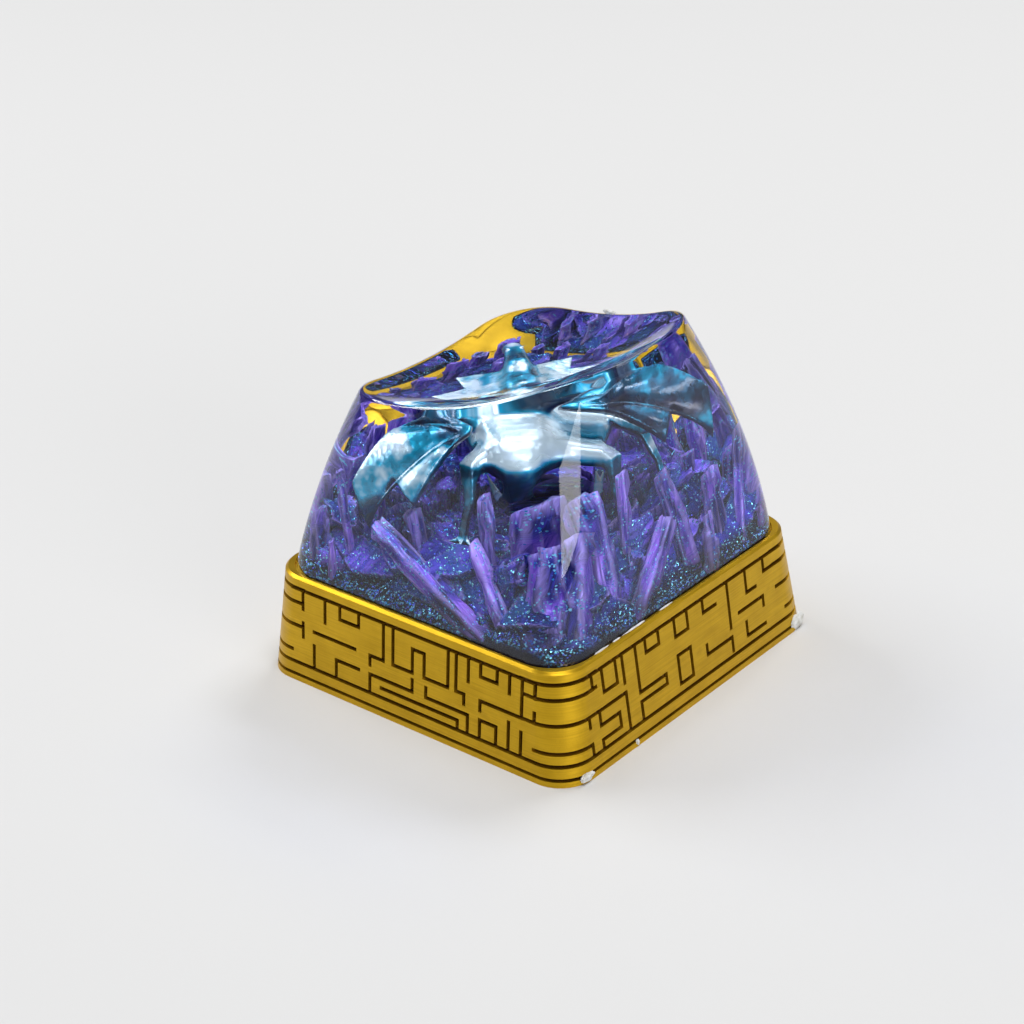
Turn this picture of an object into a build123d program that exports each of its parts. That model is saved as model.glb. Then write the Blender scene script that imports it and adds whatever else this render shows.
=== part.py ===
"""Artisan keycap: a gold fretted skirt and a clear dished dome cast round a dragon among crystals.

Millimetres, +Z up. The origin is on the switch axis, at the middle of the skirt's foot.
The low front of the dome faces -Y and its tall back faces +Y.
"""
import os
from math import atan2, cos, degrees, radians, sin

from build123d import *

os.makedirs("parts", exist_ok=True)

# Skirt
skirt_width = 18.3
skirt_lean = 0.6
skirt_height = 5.2
skirt_corner_radius = 1.7
hollow_corner_radius = 1.2
rim_round = 0.12
skirt_wall = 1.3
deck_thickness = 0.7
seat_depth = 0.2
seat_clearance = 0.02

# Stem that takes a switch's cross
stem_diameter = 5.5
stem_recess = 0.5
cross_length = 4.1
cross_slot_x = 1.3
cross_slot_y = 1.15
cross_depth = 3.6
cross_lead_in = 0.15

# Fret cut into the skirt
groove_width = 0.19
groove_depth = 0.25
rim_band = 0.55
foot_band = 0.95
fret_margin = 2.675
fret_rows = 8
fret_columns = 28
corner_reach = 2.3
foot_lip = 0.25
lip_groove_width = 0.16

# Dome
dome_ledge = 0.25
crown_height = 17.5
crown_width = 9.9
crown_front = 4.05
crown_back = 5.9
side_bow = 0.47
dome_foot_radius = 1.9
crown_radius = 3.3
dome_bands = 3
dish_radius = 19.2
dish_tilt = 13.8
dish_height = 13.57
dish_offset = 0.17

# Mound inside the dome
mound_slope = 40

# Figure
wing_arch_radius = 4.25
wing_thickness = 0.36
bone_rise = 0.13
bone_root = 0.5
bone_reach = 0.94
wing_raise = 24

rim_width = skirt_width - 2 * skirt_lean
seat_height = skirt_height - seat_depth
deck_underside = seat_height - deck_thickness
dome_foot_width = rim_width - 2 * dome_ledge
skirt_draft = degrees(atan2(skirt_lean, skirt_height))
unit_across = dome_foot_width / 2 / 10
unit_up = (dish_height - seat_height) / 10

# Places in the room under the dish: across in tenths of its half width, up in tenths of its height.
# The figure faces the front left corner (-X, -Y) and is alike on both sides of the diagonal x = y.
limb_side = (1, -1, 0)
body = [
    (3.6, 3.6, 7.0, 0.42),
    (2.8, 2.8, 7.35, 1.27),
    (1.2, 1.2, 7.25, 1.65),
    (-0.7, -0.7, 7.35, 1.7),
    (-1.9, -1.9, 7.6, 1.25),
    (-3.0, -3.0, 8.05, 0.9),
    (-4.1, -4.1, 7.95, 0.7),
    (-4.8, -4.8, 7.35, 0.78),
    (-5.7, -5.7, 6.55, 0.3),
]
tail = [
    (3.4, 3.4, 7.0, 0.6),
    (3.2, 3.2, 5.7, 0.5),
    (2.1, 2.3, 4.7, 0.4),
    (0.6, 1.2, 4.3, 0.3),
    (-0.8, -0.2, 4.5, 0.08),
]
hind_leg = [
    (2.65, 1.55, 7.35, 0.95),
    (4.35, 1.1, 6.9, 0.75),
    (4.95, 1.55, 5.5, 0.41),
    (5.05, 1.3, 4.55, 0.34),
    (5.3, 1.2, 3.3, 0.36),
]
hind_toes = (
    [(5.2, 1.25, 3.6, 0.28), (5.9, 0.5, 3.4, 0.08)],
    [(5.2, 1.25, 3.6, 0.28), (6.1, 1.4, 3.4, 0.08)],
    [(5.2, 1.25, 3.6, 0.28), (5.6, 2.2, 3.4, 0.08)],
)
front_leg = [
    (0.25, -1.7, 7.25, 0.72),
    (1.7, -3.1, 6.3, 0.5),
    (2.4, -3.6, 4.8, 0.31),
    (2.8, -3.75, 3.3, 0.34),
]
front_toes = (
    [(2.75, -3.7, 3.6, 0.27), (3.5, -4.1, 3.4, 0.08)],
    [(2.75, -3.7, 3.6, 0.27), (2.9, -4.6, 3.4, 0.08)],
    [(2.75, -3.7, 3.6, 0.27), (3.6, -3.3, 3.4, 0.08)],
)
horn = [(-4.4, -4.8, 7.8, 0.22), (-3.7, -4.6, 8.7, 0.13), (-3.0, -4.2, 9.0, 0.05)]
wing_arm = [
    (1.0, 0.25, 7.95, 0.8),
    (2.4, -0.1, 8.75, 0.55),
    (4.1, -1.4, 8.7, 0.38),
    (5.4, -3.0, 8.2, 0.24),
]
wing_arch_middle = (2.4, 0, 4.1)
wing_outline = (
    (1.1, 2.7),
    (-0.7, 2.7),
    (-3.5, 1.0),
    (-5.3, -2.45),
    (-4.3, -4.1),
    (-2.65, -1.65),
    (-1.1, -2.55),
    (0.1, -0.2),
)

# Shoulder membrane: its root, the way that it faces, and its outline from the root
mantle_root = (0.4, -1.0, 7.9)
mantle_facing = (0.1, -0.3, 1)
mantle_outline = (
    (0.6, 0.8),
    (3.4, -1.0),
    (3.0, -3.2),
    (0.8, -2.4),
    (-0.6, -4.4),
    (-2.2, -2.6),
    (-2.6, 0.2),
)

# Mound with a bare corner of deck at the front left, and boulders on it, given like crystals
mound_top = 3.5
mound_outline = (
    (9.6, 7.6),
    (7.6, 9.6),
    (-8.2, 9.6),
    (-9.6, 8.2),
    (-9.6, -6.6),
    (-6.6, -9.6),
    (8.2, -9.6),
    (9.6, -8.2),
)
boulder_places = (
    ((5.4, -6.1, 0.3), (5.2, -5.8, 3.6), 2.8, 2.4, 15),
    ((0.6, 6.8, 0.3), (0.4, 6.4, 3.9), 2.8, 1.9, 40),
    ((-4.0, 6.2, 0.3), (-4.0, 5.8, 4.3), 2.6, 2.2, 0),
    ((6.3, 5.8, 0.3), (5.9, 5.4, 4.2), 2.4, 2.0, 70),
    ((6.6, -2.8, 0.3), (6.2, -2.8, 4.1), 2.2, 2.4, 30),
    ((-6.2, -3.6, 0.3), (-6.0, -3.6, 3.9), 2.4, 2.2, 10),
    ((-1.6, -6.2, 0.3), (-1.4, -5.8, 4.0), 2.6, 2.2, 50),
)

# Crystals: foot, tip, width, depth and turn
shard_taper = 1.2
shard_chisel = 35
shard_outline = ((-0.5, -0.25), (0.1, -0.45), (0.5, -0.05), (0.3, 0.4), (-0.35, 0.42))
crystal_places = (
    ((7.4, 7.8, 0.4), (6.2, 7.0, 5.0), 2.6, 1.8, 0),
    ((8.4, 2.9, 0.6), (7.9, -3.2, 3.5), 2.1, 2.0, 0),
    ((7.9, -5.2, 0.6), (7.4, -6.2, 6.3), 1.0, 0.9, 20),
    ((-6.4, 8.5, 0.6), (-7.3, 7.5, 6.2), 1.1, 1.0, 0),
    ((2.4, 8.6, 0.9), (-0.2, 8.3, 4.0), 1.5, 1.5, 0),
    ((-2.4, 7.7, 0.5), (-0.9, 6.8, 6.0), 1.4, 1.2, 30),
    ((-4.8, 7.9, 0.5), (-4.6, 7.5, 4.8), 1.6, 1.4, 0),
    ((8.3, -7.4, 0.5), (7.9, -7.7, 3.4), 1.5, 1.2, 0),
    ((4.6, -8.0, 0.5), (4.7, -7.0, 5.4), 1.6, 1.3, 15),
    ((1.2, -8.0, 0.5), (0.6, -7.3, 5.8), 1.4, 1.4, 0),
    ((-2.6, -8.0, 0.5), (-3.4, -7.4, 5.0), 1.8, 1.3, 30),
    ((-7.0, -7.0, 0.5), (-7.0, -6.6, 5.4), 1.8, 1.6, 0),
    ((-8.0, -2.6, 0.5), (-7.3, -2.8, 5.6), 1.4, 1.6, 20),
    ((-8.0, 1.4, 0.5), (-7.4, 1.0, 6.4), 1.3, 1.3, 0),
    ((-8.0, 4.4, 0.5), (-7.9, 4.8, 4.2), 1.6, 1.2, 40),
    ((6.3, -1.0, 0.6), (6.2, -1.6, 4.6), 1.3, 1.2, 40),
    ((8.3, 5.6, 0.9), (7.0, 2.9, 4.0), 0.9, 1.1, 0),
    ((5.7, 3.7, 0.6), (5.3, 3.1, 6.6), 1.0, 1.0, 60),
    ((5.3, 5.4, 0.6), (5.0, 5.2, 6.2), 1.9, 1.3, 0),
    ((4.3, 7.6, 0.6), (4.0, 6.7, 6.8), 1.7, 1.3, 20),
    ((2.3, 6.8, 0.6), (1.9, 6.5, 7.0), 1.0, 0.9, 0),
    ((-8.4, 8.3, 0.4), (-8.4, 8.3, 2.6), 0.8, 0.7, 0),
    ((-3.5, 9.1, 0.4), (-3.3, 8.9, 3.2), 0.8, 0.6, 45),
    ((8.9, -6.3, 0.3), (8.8, -6.5, 2.4), 0.7, 0.6, 0),
    ((-5.0, -8.4, 0.5), (-5.2, -7.6, 4.4), 1.3, 1.2, 0),
    ((-8.3, -4.9, 0.5), (-7.8, -5.0, 4.2), 1.2, 1.2, 25),
    ((-8.3, -0.6, 0.5), (-8.0, -0.6, 3.8), 1.2, 1.0, 70),
    ((-0.7, -8.6, 0.5), (-0.9, -8.1, 3.6), 1.1, 1.0, 0),
    ((2.9, -8.5, 0.5), (2.8, -7.9, 4.0), 1.1, 1.1, 50),
    ((6.5, -8.3, 0.5), (6.4, -7.7, 4.6), 1.1, 1.0, 0),
    ((-8.4, 6.6, 0.5), (-8.0, 6.5, 5.0), 1.1, 1.0, 0),
    ((3.6, -6.2, 0.6), (3.3, -5.6, 5.0), 1.2, 1.0, 30),
    ((-4.6, -5.4, 0.6), (-4.9, -5.2, 4.8), 1.4, 1.1, 30),
    ((-5.4, -1.0, 0.6), (-5.6, -1.2, 4.6), 1.2, 1.2, 50),
    ((-5.6, 3.4, 0.6), (-5.8, 3.2, 4.6), 1.3, 1.1, 20),
    ((5.2, -4.4, 0.6), (5.6, -4.6, 4.4), 1.2, 1.0, 10),
)


def skirt_width_at(height):
    """Width of the tapered skirt at a height above its foot."""
    return skirt_width - 2 * skirt_lean * height / skirt_height


def rising_edges(block):
    """The edges of a block that run up its corners from foot to top."""
    return block.edges().filter_by(lambda edge: edge.bounding_box().size.Z > skirt_height / 2)


# The fret is drawn on a grid: columns count from the middle of a side, rows from the lower border.
fret_column = (skirt_width - 2 * fret_margin) / fret_columns
fret_row = (skirt_height - rim_band - foot_band) / fret_rows
corner_rows = (4, 6.5)
fret_borders = (((-15.5, 0), (15.5, 0)), ((-15.5, 8), (15.5, 8)))
side_fret = (
    ((-14, 8), (-14, 6)),
    ((-11, 8), (-11, 5.5)),
    ((-9, 8), (-9, 6.5), (-6.5, 6.5), (-6.5, 8)),
    ((-3.25, 8), (-3.25, 4), (-5, 4), (-5, 3)),
    ((-2, 8), (-2, 4), (0.5, 4), (0.5, 6.5), (2, 6.5), (2, 4), (5, 4), (5, 8)),
    ((6, 8), (6, 4), (7, 4), (7, 3)),
    ((7.5, 8), (7.5, 5.5)),
    ((9, 8), (9, 6.5), (11, 6.5), (11, 8)),
    ((12.5, 8), (12.5, 6)),
    ((14, 8), (14, 4), (9, 4), (9, 3)),
    ((15.5, 8), (15.5, 6.5)),
    ((15.5, 5), (15.5, 4)),
    ((-12.5, 4), (-7, 4)),
    ((-14, 4.5), (-14, 3)),
    ((-12.5, 2.5), (-12.5, 0)),
    ((-9.5, 0), (-9.5, 2), (-6.5, 2)),
    ((-5, 0), (-5, 2), (0.5, 2), (0.5, 3.25)),
    ((2.25, 3), (2.25, 2), (7.5, 2), (7.5, 0)),
    ((-3.5, 1), (6.25, 1), (6.25, 0)),
    ((9, 0), (9, 2), (11, 2), (11, 0)),
    ((12.5, 3), (12.5, 0)),
    ((14, 2.5), (14, 0)),
)
back_fret = (
    ((-14.5, 8), (-14.5, 6.5), (-15.5, 6.5)),
    ((-13, 8), (-13, 5.5), (-11, 5.5), (-11, 8)),
    ((-10, 8), (-10, 5)),
    ((-8, 8), (-8, 3), (-4, 3), (-4, 2), (-8, 2), (-8, 0)),
    ((-6.5, 8), (-6.5, 6.5), (-4.5, 6.5), (-4.5, 8)),
    ((-2, 8), (-2, 6), (0, 6), (0, 8)),
    ((2.5, 8), (2.5, 6.5), (4.5, 6.5)),
    ((6.5, 8), (6.5, 3)),
    ((9.5, 8), (9.5, 5.5), (11, 5.5)),
    ((12.5, 8), (12.5, 6.5), (15.5, 6.5)),
    ((-15.5, 4), (-15.5, 3)),
    ((-15.5, 1.25), (-15.5, 0)),
    ((-10, 0), (-10, 4), (-14, 4), (-14, 2.5), (-11.25, 2.5), (-11.25, 1), (-14, 1), (-14, 0)),
    ((-2, 4), (-2, 1), (0, 1), (0, 4), (-2, 4)),
    ((2.5, 3), (2.5, 2), (6.5, 2), (6.5, 0.5)),
    ((8, 4), (12, 4), (12, 3)),
    ((9, 2.5), (9, 1), (12, 1)),
)


def fret_face_plane(turn):
    """Plane of one sloping side of the skirt, at the lower border, with its X along the side."""
    outward = Vector(skirt_height, 0, skirt_lean).rotate(Axis.Z, turn)
    along = Vector(0, 1, 0).rotate(Axis.Z, turn)
    border = Vector(skirt_width_at(foot_band) / 2, 0, foot_band).rotate(Axis.Z, turn)
    return Plane(origin=border, x_dir=along, z_dir=outward)


with BuildPart() as hollow:
    with BuildSketch(Plane.XY):
        Rectangle(skirt_width - 2 * skirt_wall, skirt_width - 2 * skirt_wall)
    extrude(amount=deck_underside, taper=skirt_draft)
    fillet(rising_edges(hollow), hollow_corner_radius)

with BuildPart() as base_skirt:
    # Outer form: four sloping planes with rounded corners
    with BuildSketch(Plane.XY):
        Rectangle(skirt_width, skirt_width)
    extrude(amount=skirt_height, taper=skirt_draft)
    fillet(rising_edges(base_skirt), skirt_corner_radius)
    chamfer(base_skirt.faces().sort_by(Axis.Z)[-1].edges(), rim_round)
    # Seat for the dome
    with BuildSketch(Plane.XY.offset(seat_height)):
        seat_width = dome_foot_width + 2 * seat_clearance
        RectangleRounded(seat_width, seat_width, dome_foot_radius)
    extrude(amount=seat_depth, mode=Mode.SUBTRACT)
    # Hollow underside, a wall's thickness inside the slope
    add(hollow.part, mode=Mode.SUBTRACT)
    # Stem and its cross socket
    with BuildSketch(Plane.XY.offset(stem_recess)):
        Circle(stem_diameter / 2)
    extrude(until=Until.NEXT)
    with BuildSketch(Plane.XY.offset(stem_recess)):
        Rectangle(cross_length, cross_slot_y)
        Rectangle(cross_slot_x, cross_length)
    extrude(amount=cross_depth, mode=Mode.SUBTRACT)
    mouth = base_skirt.faces().filter_by(Plane.XY).filter_by_position(Axis.Z, stem_recess, stem_recess)
    chamfer(mouth.sort_by(SortBy.AREA)[-1].inner_wires()[0].edges(), cross_lead_in)
    # Shadow line that runs right round above the lip
    floor = skirt_width_at(foot_lip) - 2 * groove_depth
    with BuildSketch(Plane.XY.offset(foot_lip)):
        Rectangle(2 * skirt_width, 2 * skirt_width)
        RectangleRounded(floor, floor, skirt_corner_radius, mode=Mode.SUBTRACT)
    extrude(amount=lip_groove_width, mode=Mode.SUBTRACT)
    # Grooves that wrap the corners: both borders and two rows of the fret
    for row in (0, *corner_rows, fret_rows):
        height = foot_band + row * fret_row
        floor = skirt_width_at(height) - 2 * groove_depth
        corner = skirt_width_at(height)
        with BuildSketch(Plane.XY.offset(height - groove_width / 2)):
            with GridLocations(corner, corner, 2, 2):
                Rectangle(2 * corner_reach, 2 * corner_reach)
            RectangleRounded(floor, floor, skirt_corner_radius, mode=Mode.SUBTRACT)
        extrude(amount=groove_width, mode=Mode.SUBTRACT)
    # Fret strokes on the four sides
    for turn, strokes in ((0, side_fret), (90, back_fret), (180, side_fret), (270, back_fret)):
        with BuildSketch(fret_face_plane(turn)):
            for stroke in (*strokes, *fret_borders):
                for (column_a, row_a), (column_b, row_b) in zip(stroke, stroke[1:]):
                    across = (column_a + column_b) / 2 * fret_column
                    up = (row_a + row_b) / 2 * fret_row
                    length = abs(column_b - column_a) * fret_column + groove_width
                    rise = abs(row_b - row_a) * fret_row + groove_width
                    with Locations((across, up)):
                        Rectangle(length, rise)
        extrude(amount=groove_depth, both=True, mode=Mode.SUBTRACT)


def room_point(x, y, z):
    """A point of the room inside the dome, in tenths of its half width and of its height."""
    return Vector(x * unit_across, y * unit_across, seat_height + z * unit_up)


def limb(joints, sides):
    """A tapering limb through joints, each a place in the room and a radius, with flat facets."""
    places = [room_point(*joint[:3]) for joint in joints]
    rings = []
    for index, joint in enumerate(joints):
        before = places[max(index - 1, 0)]
        after = places[min(index + 1, len(places) - 1)]
        plane = Plane(places[index], x_dir=limb_side, z_dir=after - before)
        reach = joint[3] * unit_across
        turns = [radians(360 * side / sides) for side in range(sides)]
        rings.append([plane.from_local_coords((reach * cos(turn), reach * sin(turn))) for turn in turns])
    outlines = [rings[0], rings[-1]]
    for low, high in zip(rings, rings[1:]):
        for side in range(sides):
            after = (side + 1) % sides
            outlines.append([low[side], low[after], high[after]])
            outlines.append([low[side], high[after], high[side]])
    return Solid(Shell([Face(Wire.make_polygon(outline)) for outline in outlines]))


def swapped(joints):
    """The same joints on the other side of the figure, across the diagonal x = y."""
    return [(y, x, z, radius) for x, y, z, radius in joints]


def shard(foot, tip, width, depth, turn):
    """A five-sided shard that rises from the deck to a slanting tip, turned about its length."""
    peak = room_point(*tip)
    lean = (peak - room_point(*foot)).normalized()
    shard_width = width * unit_across
    shard_depth = depth * unit_across
    buried = peak - lean * ((peak.Z - seat_height + shard_width) / lean.Z)
    with BuildPart() as stone:
        with BuildSketch(Plane(buried, x_dir=limb_side, z_dir=lean).rotated((0, 0, turn))):
            Polygon(*((x * shard_width, y * shard_depth) for x, y in shard_outline), align=None)
        extrude(amount=(peak - buried).length + shard_width, taper=shard_taper)
        split(bisect_by=Plane.XY.offset(seat_height), keep=Keep.TOP)
        chisel = Plane(peak, x_dir=limb_side, z_dir=lean).rotated((shard_chisel, 0, turn))
        split(bisect_by=chisel, keep=Keep.BOTTOM)
    return stone


crystals = [shard(*place) for place in crystal_places]

# Dark glitter mound that the crystals and the figure stand on
with BuildPart() as mound:
    with BuildSketch(Plane.XY.offset(seat_height)):
        Polygon(*((x * unit_across, y * unit_across) for x, y in mound_outline), align=None)
    extrude(amount=mound_top * unit_up, taper=mound_slope)
    for place in boulder_places:
        add(shard(*place).part)

# One wing: an arched membrane trimmed to its lobed outline, with raised bones
arch_middle = room_point(*wing_arch_middle)
wing_view = Plane(arch_middle, x_dir=(0, 1, 0), z_dir=(1, 0, 1))
arch_plane = Plane(arch_middle, x_dir=(1, 0, 0), z_dir=(0, -1, 0))
outline = [(x * unit_across, y * unit_across) for x, y in wing_outline]
with BuildPart() as wing_bones:
    with BuildSketch(arch_plane):
        Circle(wing_arch_radius + wing_thickness / 2 + bone_rise)
        Circle(wing_arch_radius, mode=Mode.SUBTRACT)
    extrude(amount=dome_foot_width, both=True)
    with BuildSketch(wing_view):
        bone_start = Vector(*outline[0])
        for lobe_tip in (outline[2], outline[4], outline[6]):
            bone_end = bone_start + (Vector(*lobe_tip) - bone_start) * bone_reach
            Polygon(bone_start, bone_start - (bone_root, 0), bone_end, align=None)
    extrude(amount=2 * wing_arch_radius, mode=Mode.INTERSECT)

with BuildPart() as wing:
    with BuildSketch(arch_plane):
        Circle(wing_arch_radius + wing_thickness / 2)
        Circle(wing_arch_radius - wing_thickness / 2, mode=Mode.SUBTRACT)
    extrude(amount=dome_foot_width, both=True)
    with BuildSketch(wing_view):
        Polygon(*outline, align=None)
    extrude(amount=2 * wing_arch_radius, mode=Mode.INTERSECT)
    add(wing_bones.part)
    add(limb(wing_arm, 4))

with BuildPart() as mantle:
    with BuildSketch(Plane(room_point(*mantle_root), x_dir=(1, 0, 0), z_dir=mantle_facing)):
        Polygon(*((x * unit_across, y * unit_across) for x, y in mantle_outline), align=None)
    extrude(amount=wing_thickness / 2, both=True)

middle_plane = Plane((0, 0, 0), z_dir=(1, -1, 0))
with BuildPart() as dragon_figure:
    add(limb(body, 6))
    add(limb(tail, 4))
    for joints in (hind_leg, front_leg):
        add(limb(joints, 4))
        add(limb(swapped(joints), 4))
    for joints in (*hind_toes, *front_toes, horn):
        add(limb(joints, 3))
        add(limb(swapped(joints), 3))
    add(mantle.part)
    add(mirror(mantle.part, about=middle_plane, mode=Mode.PRIVATE))
    add(wing.part)
    body_middle = room_point(*body[2][:3])
    other_wing = mirror(wing.part, about=middle_plane, mode=Mode.PRIVATE)
    add(other_wing.rotate(Axis(body_middle, (1, 1, 0)), wing_raise))

with BuildPart() as glitter_bed:
    add(mound.part)
    for piece in (*crystals, dragon_figure):
        add(piece.part, mode=Mode.SUBTRACT)

# Sloping blocks with rounded corners, each touching the bowed sides of the dome at one height
dome_blocks = []
foot_half = dome_foot_width / 2
for step in range(dome_bands):
    rise = step / (dome_bands - 0.5)
    bulge = 4 * side_bow * rise * rise
    ends = []
    for crown_half in (crown_width / 2, crown_width / 2, crown_front, crown_back):
        slope = crown_half - foot_half + 4 * side_bow * (1 - 2 * rise)
        ends.append((foot_half + bulge, foot_half + bulge + slope))
    with BuildPart() as block:
        for plane, left, right, mode in (
            (Plane.XZ, ends[0], ends[1], Mode.ADD),
            (Plane.YZ, ends[2], ends[3], Mode.INTERSECT),
        ):
            with BuildSketch(plane):
                Polygon(
                    (-left[0], seat_height),
                    (right[0], seat_height),
                    (right[1], crown_height),
                    (-left[1], crown_height),
                    align=None,
                )
            extrude(amount=2 * dome_foot_width, both=True, mode=mode)
        fillet(rising_edges(block), dome_foot_radius + (crown_radius - dome_foot_radius) * rise)
    dome_blocks.append(block)

with BuildPart() as resin_dome:
    # The bowed sides are where sloping blocks overlap
    add(dome_blocks[0].part)
    for block in dome_blocks[1:]:
        add(block.part, mode=Mode.INTERSECT)
    # Spherical dish, tilted down to the front
    tilt = radians(dish_tilt)
    dish_centre = (
        0,
        dish_offset - dish_radius * sin(tilt),
        dish_height + dish_radius * cos(tilt),
    )
    with Locations(dish_centre):
        Sphere(dish_radius, rotation=(0, -90, 0), mode=Mode.SUBTRACT)
    # Room for what is cast inside
    for piece in (mound, *crystals, dragon_figure):
        add(piece.part, mode=Mode.SUBTRACT)

pieces = {
    "base_skirt": base_skirt,
    "resin_dome": resin_dome,
    "glitter_bed": glitter_bed,
    "dragon_figure": dragon_figure,
}
for number, crystal in enumerate(crystals, start=1):
    pieces[f"crystal_{number:02d}"] = crystal
for name, piece in pieces.items():
    piece.part.label = name
    export_step(piece.part, f"parts/{name}.step")
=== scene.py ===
"""Looks of an artisan keycap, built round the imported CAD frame.

A gold skirt with a cut fret carries a clear dished dome. Inside it a pearly dragon stands on a dark glitter
bed among violet crystals. Pieces are modelled in millimetres and turned into metres when they are finished.
"""

import logging
from dataclasses import dataclass
from enum import Enum
from math import atan2, cos, hypot, pi, radians, sin, sqrt
from typing import Callable, Iterator, Sequence

import bpy
from mathutils import Matrix, Quaternion, Vector, noise


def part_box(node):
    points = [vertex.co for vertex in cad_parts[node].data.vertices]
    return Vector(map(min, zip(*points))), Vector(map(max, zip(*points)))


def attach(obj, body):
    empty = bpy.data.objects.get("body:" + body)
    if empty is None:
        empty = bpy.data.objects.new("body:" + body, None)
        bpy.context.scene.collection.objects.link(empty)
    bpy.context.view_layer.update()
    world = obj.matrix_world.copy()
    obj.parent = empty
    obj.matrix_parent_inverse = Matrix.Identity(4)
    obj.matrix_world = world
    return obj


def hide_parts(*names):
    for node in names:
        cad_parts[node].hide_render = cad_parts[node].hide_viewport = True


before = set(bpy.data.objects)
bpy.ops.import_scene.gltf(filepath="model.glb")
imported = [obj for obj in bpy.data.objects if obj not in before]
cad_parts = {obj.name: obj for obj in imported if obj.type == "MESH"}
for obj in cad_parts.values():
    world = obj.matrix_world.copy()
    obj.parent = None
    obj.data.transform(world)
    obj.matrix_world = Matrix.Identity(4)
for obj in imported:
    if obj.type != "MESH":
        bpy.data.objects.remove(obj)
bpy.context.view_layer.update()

MM = 0.001
WELD = 0.002
FINER = 2.2
LOG = logging.getLogger("keycap")

Colour = tuple[float, float, float]
Point = tuple[float, float, float]
Stop = tuple[float, Colour]


def layered_noise(spot: Vector, layers: int, fall: float = 0.7) -> float:
    """Layered noise round 0.

    Args:
        spot: Where to read it.
        layers: How many layers are added, each finer than the one before.
        fall: How fast the finer layers fade.

    Returns:
        The noise value.
    """
    return noise.fractal(spot, fall, FINER, layers)


class Slot(Enum):
    """Material slots of the record."""

    GOLD = "gold"
    RESIN = "clear_resin"
    GLITTER = "dark_glitter"
    TEAL = "teal"
    PURPLE = "purple"


class Flow:
    """A shader value. Arithmetic on it adds Math nodes to its material."""

    def __init__(self, paint: "Paint", socket: bpy.types.NodeSocket | None) -> None:
        """Keep the material's paint and the socket that gives the value, which an output node lacks."""
        self.paint = paint
        self.socket = socket

    def math(self, operation: str, *others: "Flow | float") -> "Flow":
        """Add one Math node.

        Args:
            operation: Blender's name of the operation.
            others: The second and third operand.

        Returns:
            The result as a new value.
        """
        sockets = {index: value for index, value in enumerate((self, *others))}
        return self.paint.add("ShaderNodeMath", {"operation": operation}, sockets)

    def _swapped(self, operation: str, other: float) -> "Flow":
        """Add a Math node with a plain number as its first operand."""
        return self.paint.add("ShaderNodeMath", {"operation": operation}, {0: other, 1: self})

    def __add__(self, other: "Flow | float") -> "Flow":
        """Sum."""
        return self.math("ADD", other)

    __radd__ = __add__

    def __sub__(self, other: "Flow | float") -> "Flow":
        """Difference."""
        return self.math("SUBTRACT", other)

    def __rsub__(self, other: float) -> "Flow":
        """Difference from a plain number."""
        return self._swapped("SUBTRACT", other)

    def __mul__(self, other: "Flow | float") -> "Flow":
        """Product."""
        return self.math("MULTIPLY", other)

    __rmul__ = __mul__

    def __truediv__(self, other: "Flow | float") -> "Flow":
        """Quotient."""
        return self.math("DIVIDE", other)

    def __pow__(self, other: "Flow | float") -> "Flow":
        """Power."""
        return self.math("POWER", other)

    def __abs__(self) -> "Flow":
        """Size without sign."""
        return self.math("ABSOLUTE")

    def at_least(self, other: "Flow | float") -> "Flow":
        """The larger of two values."""
        return self.math("MAXIMUM", other)

    def at_most(self, other: "Flow | float") -> "Flow":
        """The smaller of two values."""
        return self.math("MINIMUM", other)

    def step(self, low: float, high: float) -> "Flow":
        """A smooth step from 0 at low to 1 at high.

        Args:
            low: Value where the step starts.
            high: Value where the step ends.

        Returns:
            A value from 0 to 1.
        """
        settings = {"interpolation_type": "SMOOTHSTEP"}
        return self.paint.add("ShaderNodeMapRange", settings, {0: self, 1: low, 2: high, 3: 0.0, 4: 1.0})


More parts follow.
